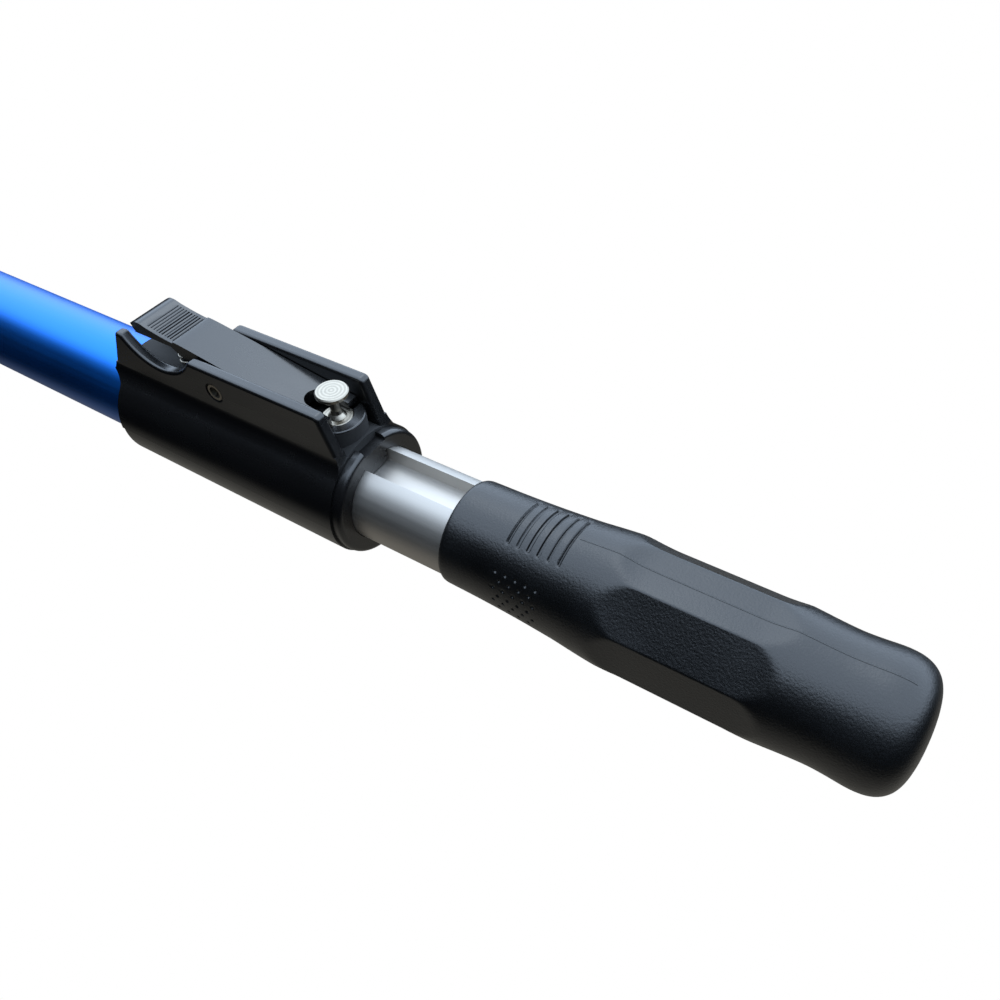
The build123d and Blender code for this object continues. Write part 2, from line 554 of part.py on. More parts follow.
def hook_head():
    """Moulded head: shank in the tube, collar, blade with a lanyard hole, prong and hook."""
    shank_r = OUTER_BORE_R - 2 * SLIP
    collar_r = OUTER_R + COLLAR_RISE
    shoulder_x = COLLAR_X0 - SHOULDER_RUN
    blade_x0 = COLLAR_X0 - BLADE_LENGTH
    body = turned([(SHANK_X1, 0), (SHANK_X1, shank_r - SHANK_EDGE), (SHANK_X1 - SHANK_EDGE, shank_r),
                   (OUTER_X0 - SLIP, shank_r), (OUTER_X0 - SLIP, collar_r - COLLAR_EDGE),
                   (OUTER_X0 - COLLAR_EDGE, collar_r), (COLLAR_X0 + COLLAR_RISE, collar_r),
                   (shoulder_x, collar_r - SHOULDER_FALL), (blade_x0 - BLADE_TAPER, PRONG_R),
                   (PRONG_X0, PRONG_R), (PRONG_X0, 0)])
    body += rod(SPIGOT_R, PRONG_X0 - SPIGOT_LENGTH, PRONG_X0)
    path = hook_arm_path()
    body += sweep(Plane(path @ 0, z_dir=path % 0) * Circle(HOOK_DIA / 2), path=path)
    body += Pos(HOOK_X + HOOK_TAIL, 0, 2 * HOOK_BEND) * Sphere(HOOK_DIA / 2)
    for side in (-1, 1):
        near_y = side * BLADE_THICK / 2
        far_y = side * 2 * BODY_R
        body -= slab(blade_x0, shoulder_x, min(near_y, far_y), max(near_y, far_y), -BODY_R, BODY_R)
    body -= cross_pin(LANYARD_DIA / 2, LANYARD_X, 0, -BODY_R, BODY_R)
    for x in RIVET_XS:
        body -= cross_pin(RIVET_DIA / 2 + SLIP, x, 0, -OUTER_R, OUTER_R)
    groove_half = SEAL_WIRE / 2 + 2 * SLIP
    groove = rod(OUTER_R, SEAL_X - groove_half, SEAL_X + groove_half)
    groove -= rod(shank_r - SEAL_WIRE, SEAL_X - SEAL_WIRE, SEAL_X + SEAL_WIRE)
    return body - groove


def head_seal():
    """Rubber ring on the head's shank."""
    ring_r = OUTER_BORE_R - SLIP - SEAL_WIRE / 2
    return Pos(SEAL_X, 0, 0) * Rot(0, 90, 0) * Torus(ring_r, SEAL_WIRE / 2)


def hook_nose():
    """Soft rubber bumper pushed on to the end of the prong."""
    radius = NOSE_DIA / 2
    centre = PRONG_X0 - radius + NOSE_OVERLAP
    nose = Pos(centre, 0, 0) * Sphere(radius)
    nose += rod(PRONG_R + NOSE_WALL, centre, PRONG_X0 + NOSE_SKIRT)
    nose -= rod(PRONG_R + SLIP, PRONG_X0 - SLIP, PRONG_X0 + NOSE_SKIRT + CUT_PAST)
    return nose - rod(SPIGOT_R + SLIP, PRONG_X0 - SPIGOT_LENGTH - SLIP, PRONG_X0 + CUT_PAST)


def head_rivets():
    """Rivets through the tube into the head's shank, one from each side."""
    rivets = []
    for x in RIVET_XS:
        for side in (-1, 1):
            stem = cross_pin(RIVET_DIA / 2, x, 0, OUTER_R - RIVET_GRIP, OUTER_R + RIVET_HEAD_THICK)
            cap = cross_pin(RIVET_HEAD_R, x, 0, OUTER_R + SLIP, OUTER_R + RIVET_HEAD_THICK)
            cap = fillet(cap.edges().filter_by(GeomType.CIRCLE).sort_by(Axis.Y)[-1],
                         radius=RIVET_HEAD_THICK * 0.8)
            rivet = stem + cap
            rivets.append(rivet if side > 0 else mirror(rivet, Plane.XZ))
    return Compound(rivets)


def tail_pin():
    """Pin that holds the tail bush in the inner tube."""
    return cross_pin(TAIL_PIN_DIA / 2, TAIL_PIN_X, 0, -INNER_R + PIN_SETBACK, INNER_R - PIN_SETBACK)


PIECES = {
    "outer_tube": outer_tube,
    "inner_tube": inner_tube,
    "lock_housing": lock_housing,
    "housing_screws": housing_screws,
    "guide_bush": guide_bush,
    "lever": lever,
    "lever_pivot_pin": lever_pivot_pin,
    "lever_spring": lever_spring,
    "plunger": plunger,
    "tail_bush": tail_bush,
    "tail_pin": tail_pin,
    "float_plugs": float_plugs,
    "grip": grip,
    "hook_head": hook_head,
    "hook_nose": hook_nose,
    "head_seal": head_seal,
    "head_rivets": head_rivets,
}

os.makedirs("parts", exist_ok=True)
for name, build in PIECES.items():
    export_step(Pos(CLIP_TO_MOUTH, 0, 0) * build(), f"parts/{name}.step")
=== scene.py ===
"""Looks of a telescopic boat hook: anodised tubes, moulded lock, turned plunger and grained grip."""

import logging
import math
from dataclasses import dataclass
from typing import Sequence

import bmesh
import bpy
from mathutils import Matrix, Vector

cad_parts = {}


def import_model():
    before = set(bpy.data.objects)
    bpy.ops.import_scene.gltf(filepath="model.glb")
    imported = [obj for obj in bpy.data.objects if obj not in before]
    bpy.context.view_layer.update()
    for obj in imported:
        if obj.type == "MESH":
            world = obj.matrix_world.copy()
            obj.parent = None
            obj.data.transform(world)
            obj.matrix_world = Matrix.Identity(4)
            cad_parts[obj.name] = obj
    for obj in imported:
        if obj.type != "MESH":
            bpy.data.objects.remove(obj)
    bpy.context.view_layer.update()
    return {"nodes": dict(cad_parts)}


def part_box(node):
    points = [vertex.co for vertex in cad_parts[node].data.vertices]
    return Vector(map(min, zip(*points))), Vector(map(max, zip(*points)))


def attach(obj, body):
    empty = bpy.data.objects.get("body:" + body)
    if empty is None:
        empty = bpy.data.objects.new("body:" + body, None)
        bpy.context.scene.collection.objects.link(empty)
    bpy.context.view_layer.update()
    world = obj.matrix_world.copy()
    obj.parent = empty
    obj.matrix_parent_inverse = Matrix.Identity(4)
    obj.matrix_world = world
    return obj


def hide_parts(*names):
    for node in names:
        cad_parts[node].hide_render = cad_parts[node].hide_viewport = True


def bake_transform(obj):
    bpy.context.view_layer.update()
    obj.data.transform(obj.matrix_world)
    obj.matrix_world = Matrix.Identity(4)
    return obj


log = logging.getLogger("boat_hook")

MM = 0.001
COLLAR_DEPTH = 1.6  # millimetres from the lock housing's end to the mouth
SEAM_START = 63.0  # millimetres from the mouth to the grip's moulding seam
SEAM_END = 139.0
PIECE_SHARP = 40.0  # degrees an edge turns by before it stays sharp
WHITE = (1.0, 1.0, 1.0, 1.0)
Number = float | int


class Signal:
    """A shader socket that Python's operators combine into Math nodes."""

    def __init__(self, graph: "Graph", socket: bpy.types.NodeSocket) -> None:
        """Wraps one output socket of a graph."""
        self.graph = graph
        self.socket = socket

    def _math(self, operation: str, first: "Signal | Number", second: "Signal | Number") -> "Signal":
        """Adds a Math node over two values."""
        values = {0: first, 1: second}
        return self.graph.out(self.graph.node("ShaderNodeMath", {"operation": operation}, values))

    def __add__(self, other: "Signal | Number") -> "Signal":
        """Sum."""
        return self._math("ADD", self, other)

    __radd__ = __add__

    def __mul__(self, other: "Signal | Number") -> "Signal":
        """Product."""
        return self._math("MULTIPLY", self, other)

    __rmul__ = __mul__

    def __sub__(self, other: "Signal | Number") -> "Signal":
        """Difference."""
        return self._math("SUBTRACT", self, other)

    def __rsub__(self, other: "Signal | Number") -> "Signal":
        """Difference, with the plain number first."""
        return self._math("SUBTRACT", other, self)

    def above(self, limit: Number) -> "Signal":
        """1 where the signal is greater than the limit, else 0."""
        return self._math("GREATER_THAN", self, limit)

    def sine(self) -> "Signal":
        """Sine of the signal."""
        return self._math("SINE", self, 0.0)

    def size(self) -> "Signal":
        """The signal without its sign."""
        return self._math("ABSOLUTE", self, 0.0)


class Graph:
    """The node tree of one material, or of the surround."""

    def __init__(self, name: str, surround: bool = False) -> None:
        """Makes an empty material or world.

        Args:
            name: its name.
            surround: True for a world.
        """
        kind = bpy.data.worlds if surround else bpy.data.materials
        self.material = kind.new(name)
        self.material.use_nodes = True
        self.tree = self.material.node_tree
        self.tree.nodes.clear()

    def node(self, kind: str, settings: dict | None = None,
             inputs: dict | None = None) -> bpy.types.Node:
        """Adds a node.

        Args:
            kind: the node's type.
            settings: attributes that are set before the sockets are filled.
            inputs: value, Signal or socket for each input, by name or index.

        Returns:
            The new node.
        """
        node = self.tree.nodes.new(kind)
        for name, value in (settings or {}).items():
            setattr(node, name, value)
        for key, value in (inputs or {}).items():
            socket = node.inputs[key]
            if isinstance(value, Signal):
                self.tree.links.new(value.socket, socket)
            elif isinstance(value, bpy.types.NodeSocket):
                self.tree.links.new(value, socket)
            else:
                socket.default_value = value
        return node

    def out(self, node: bpy.types.Node, index: int = 0) -> Signal:
        """One output of a node as a signal."""
        return Signal(self, node.outputs[index])

    def place(self, centre: Vector | None = None, scale: Sequence[float] = (1, 1, 1)) -> Signal:
        """Object coordinates, moved to a centre and stretched.

        Args:
            centre: the point that becomes the pattern's origin.
            scale: stretch along each axis.

        Returns:
            The coordinate signal.
        """
        coords = self.node("ShaderNodeTexCoord").outputs["Object"]
        shift = Vector((0, 0, 0)) if centre is None else -Vector(
            [c * s for c, s in zip(centre, scale)])
        mapping = self.node("ShaderNodeMapping", inputs={
            "Vector": coords, "Location": shift, "Scale": scale})
        return self.out(mapping)

    def axes(self, where: Signal) -> tuple[Signal, Signal, Signal]:
        """The three parts of a coordinate signal."""
        node = self.node("ShaderNodeSeparateXYZ", inputs={0: where})
        return self.out(node, 0), self.out(node, 1), self.out(node, 2)

    def noise(self, where: Signal, scale: float, detail: float = 3.0, roughness: float = 0.5) -> Signal:
        """Noise value from 0 to 1 at a coordinate signal."""
        node = self.node("ShaderNodeTexNoise", inputs={
            "Vector": where, "Scale": scale, "Detail": detail, "Roughness": roughness})
        return self.out(node)

    def cells(self, where: Signal, scale: float) -> Signal:
        """Distance to the nearest cell centre, for a pebbled grain."""
        node = self.node("ShaderNodeTexVoronoi", {"feature": "SMOOTH_F1"}, {
            "Vector": where, "Scale": scale})
        return self.out(node)

    def span(self, value: Signal, low: float, high: float, to_low: float = 0.0,
             to_high: float = 1.0) -> Signal:
        """The value taken from one range to another, held at the ends."""
        node = self.node("ShaderNodeMapRange", {"clamp": True}, {
            "Value": value, "From Min": low, "From Max": high, "To Min": to_low, "To Max": to_high})
        return self.out(node)

    def blend(self, factor: Signal, first: tuple, second: tuple) -> Signal:
        """Colour between two colours."""
        node = self.node("ShaderNodeMix", {"data_type": "RGBA"}, {
            "Factor": factor, 6: (*first, 1.0), 7: (*second, 1.0)})
        return self.out(node, 2)

    def bump(self, height: Signal, distance: float, strength: float = 1.0) -> Signal:
        """Surface normal from a height."""
        node = self.node("ShaderNodeBump", inputs={
            "Height": height, "Distance": distance, "Strength": strength})
        return self.out(node)

    def finish(self, **inputs: object) -> bpy.types.Material:
        """Ends the tree in a Principled shader.

        Args:
            **inputs: the shader's sockets, with _ for a space.

        Returns:
            The material.
        """
        named = {key.replace("_", " "): value for key, value in inputs.items()}
        shader = self.node("ShaderNodeBsdfPrincipled", inputs=named)
        self.node("ShaderNodeOutputMaterial", inputs={"Surface": shader.outputs[0]})
        return self.material


@dataclass(frozen=True)
class Anodised:
    """Satin anodised aluminium drawn along the pole."""

    name: str
    colour: tuple[float, float, float]
    shade: tuple[float, float, float]
    roughness: float = 0.36
    coat: float = 0.0
    coat_roughness: float = 0.3
    line_stretch: tuple[float, float, float] = (6, 2200, 2200)
    broad_stretch: tuple[float, float, float] = (2, 160, 160)
    cloud_scale: float = 22.0
    line_height: float = 0.000004

    def material(self) -> bpy.types.Material:
        """Fine draw lines along X, broader streaks and faint cloudiness."""
        graph = Graph(self.name)
        lines = graph.noise(graph.place(scale=self.line_stretch), 1.0, 2.0)
        broad = graph.noise(graph.place(scale=self.broad_stretch), 1.0, 2.0)
        cloud = graph.noise(graph.place(), self.cloud_scale)
        tone = graph.span(lines * 0.35 + broad * 0.4 + cloud * 0.25, 0.35, 0.65)
        rough = graph.span(lines * 0.6 + cloud * 0.4, 0.3, 0.7,
                           self.roughness - 0.04, self.roughness + 0.05)
        return graph.finish(
            Base_Color=graph.blend(tone, self.shade, self.colour), Metallic=1.0, Roughness=rough,
            Coat_Weight=self.coat, Coat_Roughness=self.coat_roughness,
            Normal=graph.bump(lines, self.line_height, 0.4))


@dataclass(frozen=True)
class Moulded:
    """Black moulded plastic with a light satin gloss."""

    name: str
    colour: tuple[float, float, float] = (0.0035, 0.0035, 0.0038)
    worn: tuple[float, float, float] = (0.009, 0.009, 0.009)
    roughness: float = 0.26
    grain: float = 0.000004
    gloss: float = 0.8
    fine_scale: float = 2600.0
    flow_stretch: tuple[float, float, float] = (40, 110, 110)
    rub_scale: float = 190.0
    matt_below: float | None = None
    matt_half_width: float = 0.0068
    matt_extra: float = 0.6

    def material(self) -> bpy.types.Material:
        """Fine mould texture, flow clouding and lighter rubbed spots."""
        graph = Graph(self.name)
        fine = graph.noise(graph.place(), self.fine_scale, 2.0)
        flow = graph.noise(graph.place(scale=self.flow_stretch), 1.0, 4.0)
        rub = graph.span(graph.noise(graph.place(), self.rub_scale, 6.0, 0.7), 0.62, 0.78)
        sheen = graph.span(flow, 0.3, 0.7, self.roughness - 0.03, self.roughness + 0.04)
        rough = sheen + rub * 0.05
        if self.matt_below:
            _, across, up = graph.axes(graph.place())
            between = 1.0 - across.size().above(self.matt_half_width)
            inside = between * (1.0 - up.above(self.matt_below)) * up.above(0.0)
            rough = rough + inside * self.matt_extra
        return graph.finish(
            Base_Color=graph.blend(rub, self.colour, self.worn), Roughness=rough,
            Specular_IOR_Level=self.gloss, Normal=graph.bump(fine + flow * 0.5, self.grain, 0.5))


@dataclass(frozen=True)
class Grained:
    """Black rubber with a fine spark-eroded grain and a moulding seam along its top."""

    name: str
    colour: tuple[float, float, float] = (0.0015, 0.0018, 0.0022)
    dust: tuple[float, float, float] = (0.006, 0.007, 0.0085)
    roughness: float = 0.33
    grain: float = 0.00008
    gloss: float = 0.7
    pebble_scale: float = 1700.0
    fine_scale: float = 2600.0
    cloud_scale: float = 60.0
    seam: tuple[float, float] | None = None
    seam_half_width: float = 0.00008
    seam_fade: float = 0.00022
    seam_height: float = 3.0

    def material(self) -> bpy.types.Material:
        """Pebbled grain, a little dust in it, uneven sheen and the seam."""
        graph = Graph(self.name)
        pebbles = graph.cells(graph.place(), self.pebble_scale)
        fine = graph.noise(graph.place(), self.fine_scale, 3.0, 0.65)
        cloud = graph.noise(graph.place(), self.cloud_scale, 4.0)
        height = pebbles * 0.7 + fine * 0.8
        dust = graph.span(fine * 0.6 + cloud * 0.4, 0.5, 0.72)
        if self.seam:
            along, across, up = graph.axes(graph.place())
            line = graph.span(across.size(), self.seam_half_width, self.seam_fade, 1.0, 0.0)
            start, end = self.seam
            line = line * up.above(0.0) * along.above(start) * (1.0 - along.above(end))
            height = height + line * self.seam_height
            dust = dust * (1.0 - line * 0.5)
        rough = graph.span(cloud, 0.3, 0.7, self.roughness - 0.03, self.roughness + 0.05)
        return graph.finish(
            Base_Color=graph.blend(dust, self.colour, self.dust), Roughness=rough,
            Specular_IOR_Level=self.gloss, Normal=graph.bump(height, self.grain, 0.7))


@dataclass(frozen=True)
class Turned:
    """Stainless steel turned on a lathe about a vertical axis."""

    name: str
    centre: tuple[float, float, float]
    colour: tuple[float, float, float] = (0.46, 0.42, 0.35)
    dark: tuple[float, float, float] = (0.33, 0.30, 0.25)
    roughness: float = 0.3
    wobble_scale: float = 900.0
    ring_density: float = 6500.0
    ring_wobble: float = 1.5
    ring_height: float = 0.00001

    def material(self) -> bpy.types.Material:
        """Concentric tool marks round the axis."""
        graph = Graph(self.name)
        flat = graph.place(Vector(self.centre), (1, 1, 0))
        radius = graph.out(graph.node("ShaderNodeVectorMath", {"operation": "LENGTH"}, {0: flat}), 1)
        wobble = graph.noise(graph.place(), self.wobble_scale, 2.0)
        rings = (radius * self.ring_density + wobble * self.ring_wobble).sine() * 0.5 + 0.5
        tone = graph.span(rings * 0.6 + wobble * 0.4, 0.2, 0.8)
        rough = graph.span(wobble, 0.3, 0.7, self.roughness - 0.04, self.roughness + 0.08)
        return graph.finish(
            Base_Color=graph.blend(tone, self.dark, self.colour), Metallic=1.0, Roughness=rough,
            Normal=graph.bump(rings, self.ring_height, 0.7))


def smooth_step(value: float, low: float, high: float) -> float:
    """0 below low, 1 above high, and a smooth rise between."""
    share = min(1.0, max(0.0, (value - low) / (high - low)))
    return share * share * (3.0 - 2.0 * share)


def soft_min(first: float, second: float, blend: float) -> float:
    """The smaller of two values, rounded off where they meet."""
    share = max(blend - abs(first - second), 0.0) / blend
    return min(first, second) - share * share * blend / 4.0


@dataclass(frozen=True)
class GripSleeve:
    """Moulded grip with palm flats, thumb grooves and dimples. Sizes in millimetres from the mouth."""

    bore: float = 13.25
    start: float = 30.1
    end: float = 145.4
    bore_end: float = 125.6
    apothem: float = 15.5
    flat_start: float = 82.1
    flat_end: float = 107.1
    flat_run: float = 14.0
    flat_lift: float = 3.3
    sides: int = 8
    segments: int = 360
    groove_count: int = 6
    groove_start: float = 47.4
    groove_pitch: float = 2.84
    groove_half_width: float = 0.48
    groove_depth: float = 0.62
    groove_half_angle: float = 31.0
    groove_fade: float = 1.6
    dimple_rows: int = 6
    dimple_columns: int = 5
    dimple_pitch: float = 2.9
    dimple_start: float = 47.0
    dimple_angle: float = 60.0
    dimple_step: float = 8.6
    dimple_radius: float = 0.5
    dimple_depth: float = 0.4
    mean_radius: float = 15.0
    flats_stop: float = 128.0
    top_half_angle: float = 22.5
    top_softness: float = 0.5
    side_softness: float = 0.16
    fine_start: float = 45.8
    fine_end: float = 62.8
    fine_step: float = 0.24
    plain_step: float = 1.15
    dome_start: float = 137.0
    dome_stop: float = 144.9
    dome_end: float = 144.95
    dome_depth: float = 8.4
    bore_margin: float = 0.2
    end_margin: float = 0.1
    axis_radius: float = 0.01
    weld: float = 0.001

    def outline(self) -> list[tuple[float, float]]:
        """Side line of the sleeve as (distance from the mouth, radius)."""
        return [(self.start, 13.9), (30.6, 14.2), (31.6, 14.33), (38.0, 14.45), (45.0, 14.65),
                (52.0, 14.95), (58.0, 15.3), (63.0, 15.65), (68.0, 16.15), (73.0, 16.6),
                (78.0, 16.85), (84.0, 16.95), (90.0, 16.9), (98.0, 16.85), (104.0, 16.9),
                (110.0, 16.75), (116.0, 16.35), (121.0, 15.95), (126.0, 15.7), (130.0, 15.85),
                (134.0, 16.15), (136.5, 16.15), (138.6, 15.85), (140.4, 15.2), (142.0, 14.1),
                (143.3, 12.5), (144.3, 10.2), (self.dome_end, 7.3), (145.3, 4.0), (self.end, 0.0)]

    def radius(self, along: float) -> float:
        """Radius of the side line, as a smooth curve through its points."""
        points = self.outline()
        index = max(1, min(len(points) - 1, sum(1 for x, _ in points if x < along)))
        (x0, r0), (x1, r1) = points[index - 1], points[index]
        before = points[max(index - 2, 0)]
        after = points[min(index + 1, len(points) - 1)]
        share = (along - x0) / (x1 - x0)
        slope0 = (r1 - before[1]) / (x1 - before[0]) * (x1 - x0)
        slope1 = (after[1] - r0) / (after[0] - x0) * (x1 - x0)
        square = share * share
        cube = square * share
        return ((2 * cube - 3 * square + 1) * r0 + (cube - 2 * square + share) * slope0
                + (3 * square - 2 * cube) * r1 + (cube - square) * slope1)

    def rows(self) -> list[float]:
        """Places of the sleeve's rings along the pole, closer together where there is detail."""
        places = [self.start, 30.3, 30.6, 31.0, 31.6]
        while places[-1] < self.dome_start:
            fine = self.fine_start < places[-1] < self.fine_end
            places.append(places[-1] + (self.fine_step if fine else self.plain_step))
        place = places[-1]
        while place < self.dome_stop:
            place += 0.18 + 0.42 * (self.end - place) / self.dome_depth
            places.append(min(place, self.dome_end))
        return places + [145.1, 145.25, 145.35, self.end]

    def flat_radius(self, along: float, turn: float) -> float:
        """Distance of the nearest palm flat at an angle from the top."""
        beyond = max(self.flat_start - along, along - self.flat_end, 0.0) / self.flat_run
        apothem = self.apothem + self.flat_lift * beyond * beyond
        sector = 360.0 / self.sides
        off = (turn + sector / 2) % sector - sector / 2
        return apothem / math.cos(math.radians(off))

    def groove(self, along: float, turn: float) -> float:
        """Depth of the thumb grooves on the top."""
        across = (along - self.groove_start) / self.groove_pitch
        index = round(across)
        if not 0 <= index < self.groove_count:
            return 0.0
        off = abs(across - index) * self.groove_pitch
        wall = 1.0 - smooth_step(off, self.groove_half_width * 0.45, self.groove_half_width * 1.15)
        ends = 1.0 - smooth_step(abs(turn), self.groove_half_angle - self.groove_fade,
                                 self.groove_half_angle + self.groove_fade)
        return self.groove_depth * wall * ends

    def dimple(self, along: float, turn: float) -> float:
        """Depth of the staggered dimples on both sides."""
        row = round((abs(turn) - self.dimple_angle) / self.dimple_step)
        if not 0 <= row < self.dimple_rows:
            return 0.0
        shift = self.dimple_pitch / 2 if row % 2 else 0.0
        count = self.dimple_columns - row % 2
        index = round((along - self.dimple_start - shift) / self.dimple_pitch)
        if not 0 <= index < count:
            return 0.0
        dx = along - self.dimple_start - shift - index * self.dimple_pitch
        dy = math.radians(abs(turn) - self.dimple_angle - row * self.dimple_step) * self.mean_radius
        wall = smooth_step(math.hypot(dx, dy), self.dimple_radius * 0.35, self.dimple_radius)
        return self.dimple_depth * (1.0 - wall)

    def surface(self, along: float, turn: float) -> float:
        """Radius of the finished surface at a place and an angle from the top."""
        outline = self.radius(along)
        softness = self.top_softness if abs(turn) < self.top_half_angle else self.side_softness
        body = outline
        if along < self.flats_stop:
            body = soft_min(outline, self.flat_radius(along, turn), softness)
        return body - self.groove(along, turn) - self.dimple(along, turn)

    def build(self, mouth: Vector, material: bpy.types.Material) -> bpy.types.Object:
        """Spins the side line round the pole and works the details into it.

        Args:
            mouth: the point on the pole's axis that the sizes start from.
            material: the sleeve's finish.

        Returns:
            The sleeve.
        """
        bm = bmesh.new()
        line = [(self.bore_end, 0.0), (self.bore_end, self.bore), (self.start, self.bore)]
        line += [(place, max(self.radius(place), 0.0)) for place in self.rows()]
        verts = [bm.verts.new((mouth.x + x * MM, 0.0, r * MM)) for x, r in line]
        edges = [bm.edges.new(pair) for pair in zip(verts, verts[1:])]
        bmesh.ops.spin(bm, geom=verts + edges, cent=mouth, axis=(1, 0, 0), angle=math.tau,
                       steps=self.segments, use_merge=True, use_duplicate=False)
        bmesh.ops.remove_doubles(bm, verts=bm.verts, dist=self.weld * MM)
        for vert in bm.verts:
            along = (vert.co.x - mouth.x) / MM
            reach = math.hypot(vert.co.y, vert.co.z) / MM
            in_bore = reach < self.bore + self.bore_margin and along < self.bore_end + self.end_margin
            if in_bore or reach < self.axis_radius:
                continue
            turn = math.degrees(math.atan2(-vert.co.y, vert.co.z))
            scale = self.surface(along, turn) / reach
            vert.co.y *= scale
            vert.co.z *= scale
        bmesh.ops.recalc_face_normals(bm, faces=bm.faces)
        return place_mesh(bm, "grip_sleeve", material, PIECE_SHARP)


def place_mesh(bm: bmesh.types.BMesh, name: str, material: bpy.types.Material,
               sharp: float) -> bpy.types.Object:
    """Turns a bmesh into a shaded object.

    Args:
        bm: the bmesh, which is freed.
        name: the object's name.
        material: its finish.
        sharp: edges that turn by more than this many degrees stay sharp.

    Returns:
        The object, linked to the scene.
    """
    mesh = bpy.data.meshes.new(name)
    bm.to_mesh(mesh)
    bm.free()
    for polygon in mesh.polygons:
        polygon.use_smooth = True
    mesh.set_sharp_from_angle(angle=math.radians(sharp))
    mesh.materials.append(material)
    item = bpy.data.objects.new(name, mesh)
    bpy.context.scene.collection.objects.link(item)
    return item


@dataclass(frozen=True)
class RockingLever:
    """Lock lever with rounded top edges. Sizes in millimetres."""

    edge: float = 0.75
    segments: int = 5
    weld: float = 0.002
    flat_angle: float = 0.6
    sharp: float = 32.0
    touch: float = 0.02
    side_normal: float = 0.95
    top_lean: float = 0.2
    top_rise: float = 0.4

    def build(self, node: bpy.types.Object, material: bpy.types.Material) -> bpy.types.Object:
        """Rounds the long top edges and the tab's edge of the lever.

        Args:
            node: the lever as modelled.
            material: its finish.

        Returns:
            The lever with its edges rounded.
        """
        bm = bmesh.new()
        bm.from_mesh(node.data)
        bm.transform(node.matrix_world)
        bmesh.ops.remove_doubles(bm, verts=bm.verts, dist=self.weld * MM)
        bmesh.ops.dissolve_limit(bm, angle_limit=math.radians(self.flat_angle),
                                 verts=bm.verts, edges=bm.edges)
        half = max(abs(vert.co.y) for vert in bm.verts)
        rims = [edge for edge in bm.edges if self.is_rim(edge, half)]
        bmesh.ops.bevel(bm, geom=rims, offset=self.edge * MM, offset_type="OFFSET", affect="EDGES",
                        segments=self.segments, profile=0.5, material=-1, clamp_overlap=True)
        bmesh.ops.recalc_face_normals(bm, faces=bm.faces)
        lever = place_mesh(bm, "rocking_lever", material, self.sharp)
        weighted = lever.modifiers.new("weighted", "WEIGHTED_NORMAL")
        weighted.keep_sharp = True
        return lever

    def is_rim(self, edge: bmesh.types.BMEdge, half: float) -> bool:
        """Whether an edge lies between a side of the lever and its top."""
        if len(edge.link_faces) != 2:
            return False
        if any(abs(abs(vert.co.y) - half) > self.touch * MM for vert in edge.verts):
            return False
        normals = [face.normal for face in edge.link_faces]
        side = any(abs(normal.y) > self.side_normal for normal in normals)
        top = any(abs(normal.y) < self.top_lean and normal.z > self.top_rise for normal in normals)
        return side and top


@dataclass(frozen=True)
class CoilSpring:
    """Spring under the thumb tab, copied as it was modelled."""

    margin: float = 0.6
    weld: float = 0.002

    def build(self, node: bpy.types.Object, material: bpy.types.Material) -> bpy.types.Object:
        """Copies the coil, welds its loose triangles and shades it.

        Args:
            node: the spring as modelled.
            material: its finish.

        Returns:
            The spring.
        """
        bm = bmesh.new()
        bm.from_mesh(node.data)
        bm.transform(node.matrix_world)
        bmesh.ops.remove_doubles(bm, verts=bm.verts, dist=self.weld * MM)
        bmesh.ops.recalc_face_normals(bm, faces=bm.faces)
        spring = place_mesh(bm, "coil_spring", material, PIECE_SHARP)
        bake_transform(spring)
        return spring


